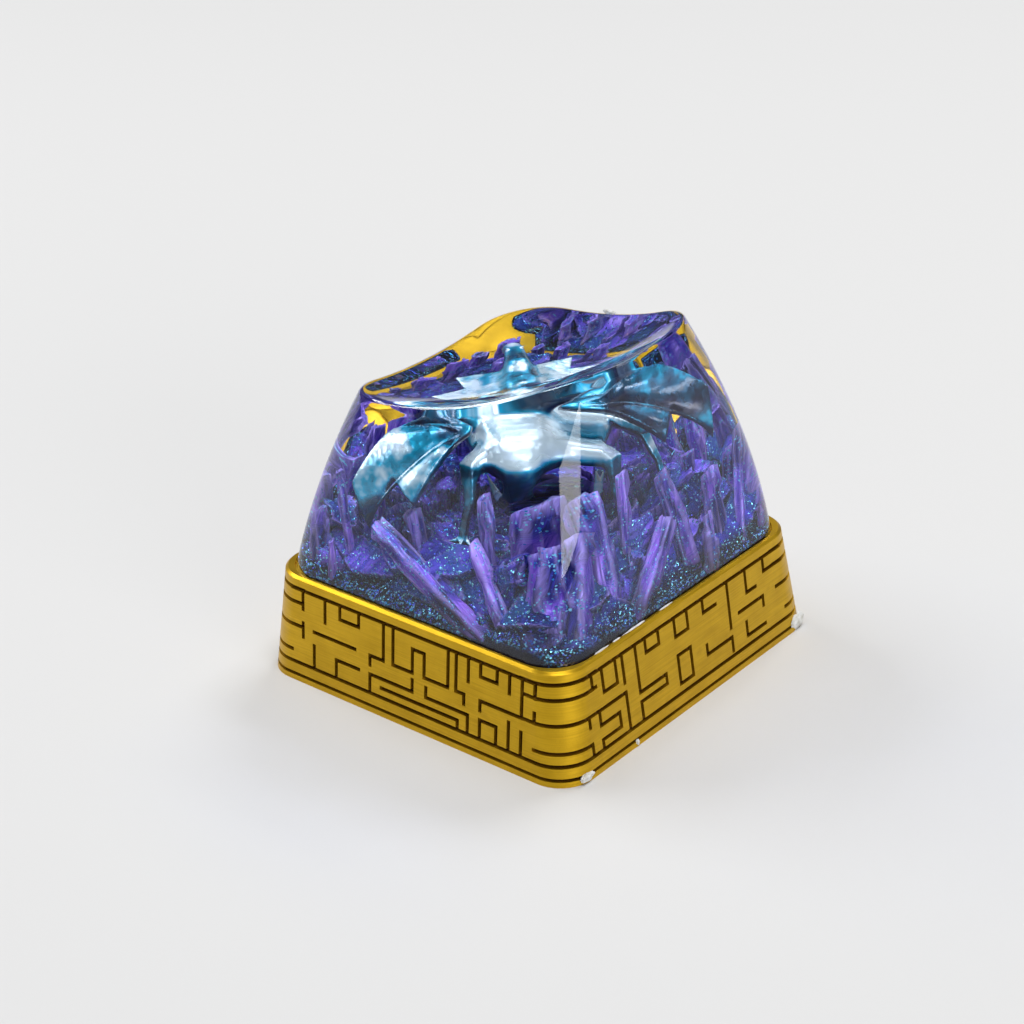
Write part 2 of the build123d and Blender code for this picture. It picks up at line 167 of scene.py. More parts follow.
class Paint:
    """A material under construction."""

    def __init__(self, name: str) -> None:
        """Start an empty material of that name."""
        self.material = bpy.data.materials.new(name)
        self.material.use_nodes = True
        self.tree = self.material.node_tree
        self.tree.nodes.clear()

    def add(
        self,
        kind: str,
        settings: dict[str, object] | None = None,
        sockets: dict[int | str, object] | None = None,
        output: int | str = 0,
    ) -> Flow:
        """Add a node.

        Args:
            kind: Blender's name of the node's type.
            settings: The node's own settings, and stops for a colour ramp.
            sockets: Values or links of its inputs.
            output: Which output to use.

        Returns:
            The chosen output.
        """
        node = self.tree.nodes.new(kind)
        for name, value in (settings or {}).items():
            if name == "stops":
                self._set_stops(node.color_ramp, value)
            else:
                setattr(node, name, value)
        for key, value in (sockets or {}).items():
            if isinstance(value, Flow):
                self.tree.links.new(value.socket, node.inputs[key])
            elif isinstance(value, tuple) and len(value) == 3 and node.inputs[key].type == "RGBA":
                node.inputs[key].default_value = (*value, 1.0)
            else:
                node.inputs[key].default_value = value
        return Flow(self, node.outputs[output] if node.outputs else None)

    @staticmethod
    def _set_stops(ramp: bpy.types.ColorRamp, stops: Sequence[Stop]) -> None:
        """Give a colour ramp its stops.

        Args:
            ramp: The ramp.
            stops: Each stop's place from 0 to 1 and its colour.
        """
        while len(ramp.elements) < len(stops):
            ramp.elements.new(1.0)
        for element, (place, colour) in zip(ramp.elements, stops):
            element.position = place
            element.color = (*colour, 1.0)

    def place(self) -> Flow:
        """Place on the object in millimetres."""
        return self.scaled(self.add("ShaderNodeTexCoord", output="Object"), 1 / MM)

    def scaled(self, vector: Flow, factor: Flow | float) -> Flow:
        """Multiply a vector by a value."""
        return self.add("ShaderNodeVectorMath", {"operation": "SCALE"}, {0: vector, "Scale": factor})

    def axes(self, vector: Flow) -> tuple[Flow, Flow, Flow]:
        """Split a vector.

        Args:
            vector: The vector.

        Returns:
            Its three values.
        """
        first = self.add("ShaderNodeSeparateXYZ", sockets={0: vector})
        outputs = first.socket.node.outputs
        return first, Flow(self, outputs[1]), Flow(self, outputs[2])

    def joined(self, x: Flow | float, y: Flow | float, z: Flow | float) -> Flow:
        """Join three values into a vector."""
        return self.add("ShaderNodeCombineXYZ", sockets={0: x, 1: y, 2: z})

    def noise(self, vector: Flow, scale: float, detail: float = 3.0, rough: float = 0.5) -> Flow:
        """Cloudy noise from 0 to 1.

        Args:
            vector: Where to read the noise.
            scale: Waves for each unit of the vector.
            detail: How many finer layers are added.
            rough: How strong the finer layers are.

        Returns:
            The noise value.
        """
        sockets = {"Vector": vector, "Scale": scale, "Detail": detail, "Roughness": rough}
        return self.add("ShaderNodeTexNoise", sockets=sockets)

    def cells(self, vector: Flow, scale: float) -> tuple[Flow, Flow]:
        """Distance to the middle of the nearest random cell, and that cell's own random colour."""
        distance = self.add("ShaderNodeTexVoronoi", sockets={"Vector": vector, "Scale": scale})
        return distance, Flow(self, distance.socket.node.outputs["Color"])

    def mix(self, factor: Flow, first: Flow | Colour, second: Flow | Colour) -> Flow:
        """Mix two colours by a factor from 0 to 1."""
        sockets = {0: factor, 6: first, 7: second}
        return self.add("ShaderNodeMix", {"data_type": "RGBA"}, sockets, output=2)

    def ramp(self, value: Flow, stops: Sequence[Stop]) -> Flow:
        """Turn a value into a colour."""
        return self.add("ShaderNodeValToRGB", {"stops": stops}, {0: value})

    def flecks(self, value: Flow, colours: Sequence[Colour]) -> Flow:
        """Turn a value from 0 to 1 into one of a row of colours, evenly spread."""
        return self.ramp(value, [(index / len(colours), colour) for index, colour in enumerate(colours)])

    def vectors(self, operation: str, first: Flow, second: Flow | Point) -> Flow:
        """Add one Vector Math node on two vectors."""
        return self.add("ShaderNodeVectorMath", {"operation": operation}, {0: first, 1: second})

    def bump(self, height: Flow, depth: float, strength: float = 1.0) -> Flow:
        """A normal that rises and falls with a height from 0 to 1.

        Args:
            height: The height.
            depth: How deep a height of 1 is, in millimetres.
            strength: How much of it shows.

        Returns:
            The bumped normal.
        """
        sockets = {"Height": height, "Distance": depth * MM, "Strength": strength}
        return self.add("ShaderNodeBump", sockets=sockets)

    def principled(self, **sockets: object) -> Flow:
        """The surface shader. Names are the sockets' names with underscores for spaces."""
        named = {name.replace("_", " "): value for name, value in sockets.items()}
        return self.add("ShaderNodeBsdfPrincipled", sockets=named)

    def finish(self, shader: Flow) -> bpy.types.Material:
        """Send a shader to the surface and return the material."""
        self.add("ShaderNodeOutputMaterial", sockets={"Surface": shader})
        return self.material


class Bench:
    """The modelling bench: operators that act on one object at a time."""

    @staticmethod
    def clear() -> None:
        """Go to object mode with nothing selected."""
        active = bpy.context.object
        if active is not None and active.mode != "OBJECT":
            bpy.ops.object.mode_set(mode="OBJECT")
        bpy.ops.object.select_all(action="DESELECT")

    @staticmethod
    def only(piece: bpy.types.Object) -> None:
        """Make a piece the one selected and active object.

        Args:
            piece: The piece.
        """
        Bench.clear()
        piece.select_set(True)
        bpy.context.view_layer.objects.active = piece

    @staticmethod
    def edit(piece: bpy.types.Object, select: str = "SELECT") -> None:
        """Open a piece in edit mode.

        Args:
            piece: The piece.
            select: SELECT or DESELECT, for all that it holds.
        """
        Bench.only(piece)
        bpy.ops.object.mode_set(mode="EDIT")
        bpy.ops.mesh.select_mode(type="VERT")
        bpy.ops.mesh.select_all(action=select)

    @staticmethod
    def close() -> None:
        """Leave edit mode."""
        bpy.ops.object.mode_set(mode="OBJECT")

    @staticmethod
    def pick(piece: bpy.types.Object, rule: Callable[[Vector], bool]) -> None:
        """Open a piece in edit mode with some corners selected.

        Args:
            piece: The piece.
            rule: Tells from a corner's place whether it is selected.
        """
        Bench.edit(piece, "DESELECT")
        Bench.close()
        for corner in piece.data.vertices:
            corner.select = rule(corner.co)
        bpy.ops.object.mode_set(mode="EDIT")

    @staticmethod
    def node_copy(node: str, name: str) -> bpy.types.Object:
        """Copy a CAD node's form, in millimetres and with its triangles joined.

        Args:
            node: The CAD node.
            name: Name of the new piece.

        Returns:
            The copy.
        """
        piece = bpy.data.objects.new(name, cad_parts[node].data.copy())
        bpy.context.scene.collection.objects.link(piece)
        piece.data.transform(Matrix.Scale(1 / MM, 4))
        piece.data.materials.clear()
        Bench.edit(piece)
        bpy.ops.mesh.remove_doubles(threshold=WELD)
        Bench.close()
        return piece

    @staticmethod
    def apply(piece: bpy.types.Object, kind: str, **settings: object) -> None:
        """Add a modifier and apply it.

        Args:
            piece: The piece.
            kind: Blender's name of the modifier's type.
            settings: The modifier's settings.
        """
        Bench.only(piece)
        modifier = piece.modifiers.new(kind.title(), kind)
        for name, value in settings.items():
            setattr(modifier, name, value)
        bpy.ops.object.modifier_apply(modifier=modifier.name)

    @staticmethod
    def join(pieces: Sequence[bpy.types.Object], name: str) -> bpy.types.Object:
        """Join several objects.

        Args:
            pieces: The objects.
            name: Name of the joined piece.

        Returns:
            The joined piece.
        """
        Bench.only(pieces[0])
        for piece in pieces:
            piece.select_set(True)
        bpy.ops.object.join()
        joined = bpy.context.object
        joined.name = name
        joined.data.name = name
        return joined

    @staticmethod
    def move(piece: bpy.types.Object, place: Callable[[Vector], Vector]) -> None:
        """Move every corner of a piece.

        Args:
            piece: The piece.
            place: Tells from a corner's place where it goes.
        """
        for corner in piece.data.vertices:
            corner.co = place(corner.co)
        piece.data.update()

    @staticmethod
    def smooth(piece: bpy.types.Object, angle: float) -> None:
        """Shade a piece smooth, with edges sharper than an angle in degrees left sharp."""
        Bench.only(piece)
        bpy.ops.object.shade_smooth_by_angle(angle=radians(angle))

    @staticmethod
    def finish(
        piece: bpy.types.Object,
        slot: Slot,
        material: bpy.types.Material,
        nodes: Sequence[str] = (),
    ) -> bpy.types.Object:
        """Turn a finished piece into metres, dress it and hand it to the frame.

        Args:
            piece: The piece, in millimetres.
            slot: The record's slot for the piece. Not used.
            material: Its material.
            nodes: CAD nodes that it stands for.

        Returns:
            The piece.
        """
        Bench.only(piece)
        bpy.ops.object.transform_apply(location=True, rotation=True, scale=True)
        piece.data.transform(Matrix.Scale(MM, 4))
        piece.data.update()
        piece.data.materials.clear()
        piece.data.materials.append(material)
        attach(piece, "root")
        if nodes:
            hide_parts(*nodes)
        triangles = sum(len(face.vertices) - 2 for face in piece.data.polygons)
        LOG.info("%s: %d triangles", piece.name, triangles)
        return piece


@dataclass(frozen=True)
class GoldPaint:
    """Metallic gold paint on a printed skirt: fine layer streaks, faint cloudy blotches, and darker amber
    painted into the cuts as shade.
    """

    face: Colour = (0.48, 0.28, 0.008)
    bright: Colour = (0.70, 0.43, 0.02)
    cut_shade_amber: Colour = (0.13, 0.055, 0.004)
    layer: float = 0.07
    rim: float = 0.35

    def material(self, skirt: "Skirt") -> bpy.types.Material:
        """Make the material.

        Args:
            skirt: The skirt whose cuts get painted shade.

        Returns:
            The material.
        """
        paint = Paint("gold_paint")
        place = paint.place()
        x, y, z = paint.axes(place)
        half = skirt.foot_half - z * (skirt.lean / skirt.height)
        across = abs(x) - half + skirt.corner_radius
        along = abs(y) - half + skirt.corner_radius
        round_part = (across.at_least(0.0) ** 2.0 + along.at_least(0.0) ** 2.0) ** 0.5
        flat_part = across.at_least(along).at_most(0.0)
        depth = skirt.corner_radius - round_part - flat_part
        in_cut = depth.step(0.05, 0.9 * skirt.groove_depth) * (1 - depth.step(0.4, 0.5))
        in_cut = in_cut * (1 - z.step(skirt.height - self.rim - 0.05, skirt.height - self.rim))
        streak_place = paint.joined(x * 0.35, y * 0.35, z / self.layer)
        streaks = paint.noise(streak_place, 1.0, 2.0, 0.6)
        clouds = paint.noise(place, 0.8, 3.0)
        grain = paint.noise(place, 9.0, 2.0)
        shade = streaks * 0.6 + clouds * 0.4
        face = paint.ramp(shade, ((0.3, self.face), (0.7, self.bright)))
        # Painted shade: the cuts turn almost amber, and random cloudy blotches darken the faces a little
        cut_shade_and_blotches = in_cut * 0.92 + (1 - in_cut) * clouds.step(0.62, 0.8) * 0.25
        colour = paint.mix(cut_shade_and_blotches, face, self.cut_shade_amber)
        shader = paint.principled(
            Base_Color=colour,
            Metallic=0.9 - in_cut * 0.4,
            Roughness=0.3 + streaks * 0.16 + in_cut * 0.25,
            Normal=paint.bump(streaks * 0.7 + grain * 0.3, 0.012, 0.8),
        )
        return paint.finish(shader)


@dataclass(frozen=True)
class ClearResin:
    """Polished clear casting resin with a faint cool tint."""

    tint: Colour = (0.86, 0.89, 0.98)
    bend: float = 1.5

    def material(self) -> bpy.types.Material:
        """Make the material. Light from lamps goes straight through to what is cast inside.

        Returns:
            The material.
        """
        paint = Paint("clear_resin")
        resin = paint.principled(
            Base_Color=self.tint,
            Roughness=0.0,
            IOR=self.bend,
            Transmission_Weight=1.0,
        )
        passing = paint.add("ShaderNodeBsdfTransparent", sockets={"Color": self.tint})
        from_lamp = paint.add("ShaderNodeLightPath", output="Is Shadow Ray")
        return paint.finish(paint.add("ShaderNodeMixShader", sockets={0: from_lamp, 1: resin, 2: passing}))


@dataclass(frozen=True)
class Stone:
    """Streaky violet rock. Each chunk has its own tone and a painted lilac highlight along its raised edge,
    and painted navy shade along an edge where it lies low.
    """

    tones: tuple[Colour, ...]
    navy: Colour = (0.0006, 0.002, 0.009)
    lilac_highlight: Colour = (0.46, 0.36, 0.86)

    def colour(self, paint: Paint) -> tuple[Flow, Flow]:
        """Read the rock attribute, across, along and edge, and the chunk's tone.

        Args:
            paint: The material under construction.

        Returns:
            The colour and the height of the streaks.
        """
        rock = paint.add("ShaderNodeAttribute", {"attribute_name": "rock"}, output="Vector")
        across, along, edge = paint.axes(rock)
        tone = paint.add("ShaderNodeAttribute", {"attribute_name": "tone"}, output="Fac")
        streaks = paint.noise(paint.joined(across * 8.0, along * 1.6, tone * 9.0), 1.0, 4.0, 0.65)
        stops = [(0.3 + 0.13 * index, colour) for index, colour in enumerate(self.tones)]
        colour = paint.ramp(streaks * 0.65 + tone * 0.35, stops)
        # Painted light: raised edges get a lilac highlight, and edges below a higher chunk get navy shade
        edge_highlight = (edge.at_least(0.0) * (streaks * 1.2 - 0.1)).at_most(0.9)
        sunk = (edge * -1.0).at_least(0.0) * 0.9
        return paint.mix(sunk, paint.mix(edge_highlight, colour, self.lilac_highlight), self.navy), streaks


@dataclass(frozen=True)
class DarkGlitter:
    """Dark navy resin full of fine flakes at the foot, turning to streaky violet rock higher up, with a bare
    dark band painted as shade along the wall.
    """

    stone: Stone = Stone(
        ((0.002, 0.004, 0.035), (0.010, 0.018, 0.18), (0.05, 0.04, 0.40), (0.19, 0.11, 0.66)),
    )
    flakes: tuple[Colour, ...] = (
        (0.0, 0.30, 0.40),
        (0.02, 0.12, 0.60),
        (0.09, 0.06, 0.52),
        (0.2, 0.62, 0.72),
    )
    ocean: Colour = (0.006, 0.06, 0.17)
    fine: float = 0.075
    coarse: float = 0.15
    flake_tilt: float = 1.4
    glitter_top: float = 5.9
    wall: float = 8.3

    def material(self) -> bpy.types.Material:
        """Make the material.

        Returns:
            The material.
        """
        paint = Paint("dark_glitter")
        place = paint.place()
        x, y, height = paint.axes(place)
        drift = paint.noise(place, 0.6, 3.0)
        stone, streaks = self.stone.colour(paint)
        stone = paint.mix(drift.step(0.46, 0.6) * 0.6, stone, self.ocean)
        rocky = (height + drift * 1.6 - 0.8).step(self.glitter_top - 0.4, self.glitter_top + 0.5)
        ground = paint.mix(rocky, self.stone.navy, stone)
        _, fine_colour = paint.cells(place, 1 / self.fine)
        _, coarse_colour = paint.cells(place, 1 / self.coarse)
        pick, hue, gleam = paint.axes(fine_colour)
        big, _, _ = paint.axes(coarse_colour)
        # Painted shade: flakes stop short of the wall, leaving a bare dark band where the bed meets the gold
        seam = (self.wall - abs(x).at_least(abs(y))).step(0.3, 0.75)
        small_flake = (pick + drift * 0.5 - rocky * 0.13).step(0.94, 0.98)
        big_flake = (big - rocky * 0.035).step(0.92, 0.94)
        flake = small_flake.at_least(big_flake) * seam
        colour = paint.mix(flake, ground, paint.flecks(hue, self.flakes))
        # Each flake is turned its own way, so that some of them catch the light
        tilt = paint.vectors("SUBTRACT", fine_colour, (0.5, 0.5, 0.5))
        swing = paint.scaled(tilt, flake * self.flake_tilt)
        turned = paint.vectors("ADD", paint.bump(streaks, 0.12, 0.9), swing)
        normal = paint.add("ShaderNodeVectorMath", {"operation": "NORMALIZE"}, {0: turned})
        shader = paint.principled(
            Base_Color=colour,
            Metallic=flake * 0.8,
            Roughness=0.4 - flake * (0.1 + gleam * 0.15),
            Specular_IOR_Level=0.03,
            Normal=normal,
        )
        return paint.finish(shader)


@dataclass(frozen=True)
class PearlTeal:
    """Glossy pearl paint with painted light: a white painted highlight on surfaces that face up and on the
    front of the body, cyan on the wings, painted deep blue shade on surfaces that face down, and a darker
    neck.
    """

    # The deep blue is painted shade and the top colour a painted highlight
    deep: Colour = (0.001, 0.006, 0.035)
    teal: Colour = (0.0, 0.065, 0.13)
    cyan: Colour = (0.0, 0.36, 0.56)
    highlight_white: Colour = (0.72, 0.90, 0.95)
    wing_start: float = 3.0
    body_side: float = 3.4
    body_low: float = 10.9
    body_high: float = 11.5
    neck_low: float = 11.9
    neck_high: float = 12.8

    def material(self) -> bpy.types.Material:
        """Make the material.

        Returns:
            The material.
        """
        paint = Paint("pearl_teal")
        place = paint.place()
        x, y, z = paint.axes(place)
        aside = x - y
        streaks = paint.noise(paint.joined(aside * 1.1, (x + y) * 0.4, z * 1.5), 1.0, 2.0, 0.45)
        clouds = paint.noise(place, 0.9, 3.0)
        scale_edge, _ = paint.cells(place, 3.6)
        facing_x, facing_y, facing_up = paint.axes(paint.add("ShaderNodeNewGeometry", output="Normal"))
        on_wing = abs(aside).step(self.wing_start, self.wing_start + 2.5)
        on_neck = z.step(self.neck_low, self.neck_high)
        near_middle = 1 - abs(aside).step(self.body_side - 1.2, self.body_side)
        facing_front = (facing_x + facing_y).step(-0.2, 0.3)
        body_highlight = z.step(self.body_low, self.body_high) * near_middle * facing_front
        # Painted light: faces turned up get lighter and faces turned down darker, mixed with random clouds
        # and streaks
        light = facing_up * 0.36 + clouds * 0.3 + streaks * 0.5 - 0.06
        # The wings turn more cyan, the body's front gets a painted white highlight, and the neck is darker
        light = light + on_wing * 0.12 + body_highlight * 0.3 - on_neck * 0.34
        stops = ((0.2, self.deep), (0.4, self.teal), (0.56, self.cyan), (0.72, self.highlight_white))
        colour = paint.ramp(light, stops)
        height = scale_edge * 0.6 + streaks * 0.8
        shader = paint.principled(
            Base_Color=colour,
            Metallic=0.55,
            Roughness=0.22 + clouds * 0.12,
            Specular_IOR_Level=0.3,
            Normal=paint.bump(height, 0.06, 0.5),
            Coat_Weight=0.6,
            Coat_IOR=1.7,
            Coat_Roughness=0.14,
        )
        return paint.finish(shader)


@dataclass(frozen=True)
class VioletPearl:
    """Pearly violet paint on the rough shards, dark at their feet and flecked with teal."""

    stone: Stone = Stone(
        ((0.003, 0.005, 0.05), (0.018, 0.02, 0.24), (0.09, 0.045, 0.48), (0.28, 0.13, 0.72)),
    )
    flecks: tuple[Colour, ...] = ((0.0, 0.22, 0.36), (0.02, 0.12, 0.55), (0.16, 0.52, 0.66))
    fleck_size: float = 0.07
    foot_low: float = 5.4
    foot_high: float = 7.0

    def material(self) -> bpy.types.Material:
        """Make the material.

        Returns:
            The material.
        """
        paint = Paint("violet_pearl")
        place = paint.place()
        _, _, height = paint.axes(place)
        colour, streaks = self.stone.colour(paint)
        above_foot = height.step(self.foot_low, self.foot_high) * 0.6 + 0.4
        colour = paint.mix(above_foot, self.stone.navy, colour)
        _, fleck_colour = paint.cells(place, 1 / self.fleck_size)
        pick, hue, _ = paint.axes(fleck_colour)
        fleck = (pick + paint.noise(place, 0.8, 2.0) * 0.6).step(1.2, 1.24)
        colour = paint.mix(fleck, colour, paint.flecks(hue, self.flecks))
        shader = paint.principled(
            Base_Color=colour,
            Metallic=0.45,
            Roughness=0.3 + streaks * 0.2,
            Specular_IOR_Level=0.2,
            Normal=paint.bump(streaks, 0.06, 0.9),
            Coat_Weight=0.2,
            Coat_Roughness=0.15,
        )
        return paint.finish(shader)


@dataclass(frozen=True)
class Flash:
    """Milky cured resin left at the edges of the casting."""

    milk: Colour = (0.78, 0.79, 0.80)
    dull: Colour = (0.55, 0.54, 0.48)

    def material(self) -> bpy.types.Material:
        """Make the material.

        Returns:
            The material.
        """
        paint = Paint("resin_flash")
        place = paint.place()
        clouds = paint.noise(place, 3.0, 3.0)
        colour = paint.ramp(clouds, ((0.3, self.dull), (0.65, self.milk)))
        shader = paint.principled(
            Base_Color=colour,
            Roughness=0.35 + clouds * 0.2,
            Normal=paint.bump(clouds, 0.05),
        )
        return paint.finish(shader)


@dataclass
class Skirt:
    """The gold skirt: the CAD form with one more groove round each corner and fine rounded edges."""

    foot_half: float
    height: float
    lean: float = 0.6
    edge: float = 0.03
    corner_radius: float = 1.7
    groove_width: float = 0.19
    groove_depth: float = 0.25
    wrap_height: float = 1.53
    wrap_past: float = 6.0
    wrap_steps: int = 20

    @classmethod
    def from_frame(cls) -> "Skirt":
        """Read the skirt's size from its CAD node."""
        low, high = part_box("base_skirt")
        return cls(foot_half=high.x / MM, height=(high.z - low.z) / MM)

    def wraps(self) -> bpy.types.Object:
        """Model the cutter of the extra groove: a bar spun round one corner and copied to the other three.

        Returns:
            The cutter.
        """
        middle = self.foot_half - self.lean * self.wrap_height / self.height - self.corner_radius
        turn = radians(self.wrap_past)
        start_x = middle + self.corner_radius * cos(turn)
        start_y = middle - self.corner_radius * sin(turn)
        Bench.clear()
        bpy.ops.mesh.primitive_plane_add(
            size=1.0,
            location=(start_x, start_y, self.wrap_height),
            rotation=(pi / 2, 0, -turn),
        )
        bar = bpy.context.object
        bar.scale = (2 * self.groove_depth, self.groove_width, 1)
        bpy.ops.object.transform_apply(location=True, rotation=True, scale=True)
        Bench.edit(bar)
        # A negative angle goes round against the clock, seen from above
        bpy.ops.mesh.spin(
            steps=self.wrap_steps,
            angle=-pi / 2 - 2 * turn,
            center=(middle, middle, 0),
            axis=(0, 0, 1),
        )
        bpy.ops.mesh.select_all(action="SELECT")
        bpy.ops.mesh.normals_make_consistent(inside=False)
        Bench.close()
        bars = [bar]
        for quarter in (1, 2, 3):
            copy = bpy.data.objects.new("wrap", bar.data.copy())
            bpy.context.scene.collection.objects.link(copy)
            copy.data.transform(Matrix.Rotation(quarter * pi / 2, 4, "Z"))
            bars.append(copy)
        return Bench.join(bars, "wraps")

    def build(self, finish: GoldPaint) -> bpy.types.Object:
        """Copy the CAD form, cut the extra grooves, round its edges and paint it.

        Args:
            finish: The paint.

        Returns:
            The piece.
        """
        piece = Bench.node_copy("base_skirt", "gold_skirt")
        Bench.edit(piece)
        bpy.ops.mesh.dissolve_limited(angle_limit=radians(0.5))
        Bench.close()
        cutter = self.wraps()
        Bench.apply(piece, "BOOLEAN", operation="DIFFERENCE", solver="EXACT", object=cutter)
        bpy.data.objects.remove(cutter)
        Bench.apply(
            piece,
            "BEVEL",
            width=self.edge,
            segments=2,
            limit_method="ANGLE",
            angle_limit=radians(35),
        )
        Bench.smooth(piece, angle=40)
        Bench.apply(piece, "WEIGHTED_NORMAL", keep_sharp=True)
        return Bench.finish(piece, Slot.GOLD, finish.material(self), ["base_skirt"])


@dataclass
class Dome:
    """The clear dome: bowed sides with corners that open towards a tilted spherical dish."""

    foot_half: float
    foot_height: float
    crown_height: float = 17.5
    crown_half: float = 4.95
    crown_front: float = 4.05
    crown_back: float = 5.9
    side_bow: float = 0.47
    foot_radius: float = 1.9
    crown_radius: float = 3.3
    dish_radius: float = 19.2
    dish_tilt: float = 13.8
    dish_height: float = 13.57
    dish_offset: float = 0.17
    sunk: float = 0.02
    rim_edge: float = 0.17
    corner_steps: int = 18
    side_steps: int = 12
    wall_rings: int = 36
    dish_rings: int = 22
    rim_range: tuple[float, float] = (0.3, 1.0)
    halvings: int = 40

    @classmethod
    def from_frame(cls) -> "Dome":
        """Read the dome's foot from its CAD node."""
        low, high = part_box("resin_dome")
        return cls(foot_half=high.x / MM, foot_height=low.z / MM)

    @property
    def columns(self) -> int:
        """How many columns of faces go round the dome."""
        return 4 * (self.corner_steps + self.side_steps)

    @property
    def dish_centre(self) -> Vector:
        """Find the centre of the dish's sphere.

        Returns:
            The centre.
        """
        tilt = radians(self.dish_tilt)
        back = self.dish_offset - self.dish_radius * sin(tilt)
        return Vector((0, back, self.dish_height + self.dish_radius * cos(tilt)))

    def section(self, rise: float) -> tuple[float, float, float, float]:
        """Measure the dome at one height.

        Args:
            rise: From 0, the foot, to 1, the crown.

        Returns:
            Half width, middle in Y, half depth and corner radius.
        """
        bow = 4 * self.side_bow * rise * (1 - rise)
        half, front, back = (
            self.foot_half + (crown - self.foot_half) * rise + bow
            for crown in (self.crown_half, self.crown_front, self.crown_back)
        )
        radius = self.foot_radius + (self.crown_radius - self.foot_radius) * rise
        return half, (back - front) / 2, (back + front) / 2, radius

    def wall_point(self, column: int, rise: float) -> Vector:
        """A point of the side wall.

        Args:
            column: Count round the dome, from the +Y end of the +X side.
            rise: From 0, the foot, to 1, the crown.

        Returns:
            The point.
        """
        half, middle, depth, radius = self.section(rise)
        corner, step = divmod(column, self.corner_steps + self.side_steps)

        def corner_point(number: int, turn: float) -> Vector:
            """Find a point on a corner's arc.

            Args:
                number: The corner, counted round from +X +Y.
                turn: The direction in quarter turns.

            Returns:
                The point, seen from above.
            """
            side_x = 1 if number % 4 in (0, 3) else -1
            side_y = 1 if number % 4 in (0, 1) else -1
            centre = Vector((side_x * (half - radius), middle + side_y * (depth - radius)))
            angle = turn * pi / 2
            return centre + radius * Vector((cos(angle), sin(angle)))

        if step <= self.corner_steps:
            flat = corner_point(corner, corner + step / self.corner_steps)
        else:
            share = (step - self.corner_steps) / self.side_steps
            flat = corner_point(corner, corner + 1).lerp(corner_point(corner + 1, corner + 1), share)
        return Vector((flat.x, flat.y, self.foot_height + (self.crown_height - self.foot_height) * rise))

    def rim_rise(self, column: int) -> float:
        """Find where a column of the wall meets the dish, by halving.

        Args:
            column: Count round the dome.

        Returns:
            The rise.
        """
        low, high = self.rim_range
        for _ in range(self.halvings):
            middle = (low + high) / 2
            if (self.wall_point(column, middle) - self.dish_centre).length > self.dish_radius:
                low = middle
            else:
                high = middle
        return low

    def dish_point(self, x: float, y: float) -> Vector:
        """Find the point of the dish above a place.

        Args:
            x: The place in X.
            y: The place in Y.

        Returns:
            The point.
        """
        centre = self.dish_centre
        reach = self.dish_radius**2 - (x - centre.x) ** 2 - (y - centre.y) ** 2
        return Vector((x, y, centre.z - sqrt(reach)))

    def depth(self, point: Vector) -> float:
        """Measure how deep a point is inside the dome.

        Args:
            point: The point.

        Returns:
            The depth in millimetres, below 0 outside.
        """
        rise = (point.z - self.foot_height) / (self.crown_height - self.foot_height)
        half, middle, depth, radius = self.section(rise)
        across = abs(point.x) - half + radius
        along = abs(point.y - middle) - depth + radius
        side = radius - hypot(max(across, 0), max(along, 0)) - min(max(across, along), 0)
        return min(side, (point - self.dish_centre).length - self.dish_radius)

    def build(self, finish: ClearResin) -> bpy.types.Object:
        """Extrude a ring up the wall and in over the dish, and put each corner in its place.

        Args:
            finish: The resin.

        Returns:
            The piece.
        """
        Bench.clear()
        bpy.ops.mesh.primitive_circle_add(vertices=self.columns, radius=1.0, fill_type="NOTHING")
        piece = bpy.context.object
        piece.name = "clear_dome"
        Bench.edit(piece)
        rings = self.wall_rings + 1 + self.dish_rings
        for _ in range(rings):
            bpy.ops.mesh.extrude_region_move(TRANSFORM_OT_translate={"value": (0, 0, 1)})
        Bench.close()
        rises = [self.rim_rise(column) for column in range(self.columns)]
        rims = [self.wall_point(column, rise) for column, rise in enumerate(rises)]
        hub = sum(rims, Vector()) / len(rims)

        def placed(spot: Vector) -> Vector:
            """Find where a corner of the plain tube goes.

            Args:
                spot: The corner, whose height counts the rings.

            Returns:
                Its place on the wall, the rim or the dish.
            """
            column = round(atan2(spot.y, spot.x) / (2 * pi) * self.columns) % self.columns
            ring = round(spot.z)
            rim = rims[column]
            inward = Vector((hub.x - rim.x, hub.y - rim.y)).normalized() * self.rim_edge
            ledge = self.dish_point(rim.x + inward.x, rim.y + inward.y)
            wall_top = rises[column] * (1 - self.rim_edge / (rim.z - self.foot_height))
            if ring < self.wall_rings:
                point = self.wall_point(column, wall_top * ring / (self.wall_rings - 1))
                if ring == 0:
                    point.z -= self.sunk
                return point
            if ring == self.wall_rings:
                return (self.wall_point(column, wall_top) + 2 * rim + ledge) / 4
            share = (ring - self.wall_rings - 1) / self.dish_rings
            return self.dish_point(ledge.x + (hub.x - ledge.x) * share, ledge.y + (hub.y - ledge.y) * share)

        Bench.move(piece, placed)
        Bench.edit(piece)
        bpy.ops.mesh.remove_doubles(threshold=0.0005)
        Bench.close()
        Bench.pick(piece, lambda spot: spot.z < self.foot_height)
        bpy.ops.mesh.edge_face_add()
        bpy.ops.mesh.select_all(action="SELECT")
        bpy.ops.mesh.normals_make_consistent(inside=False)
        Bench.close()
        Bench.smooth(piece, angle=62)
        return Bench.finish(piece, Slot.RESIN, finish.material(), ["resin_dome"])


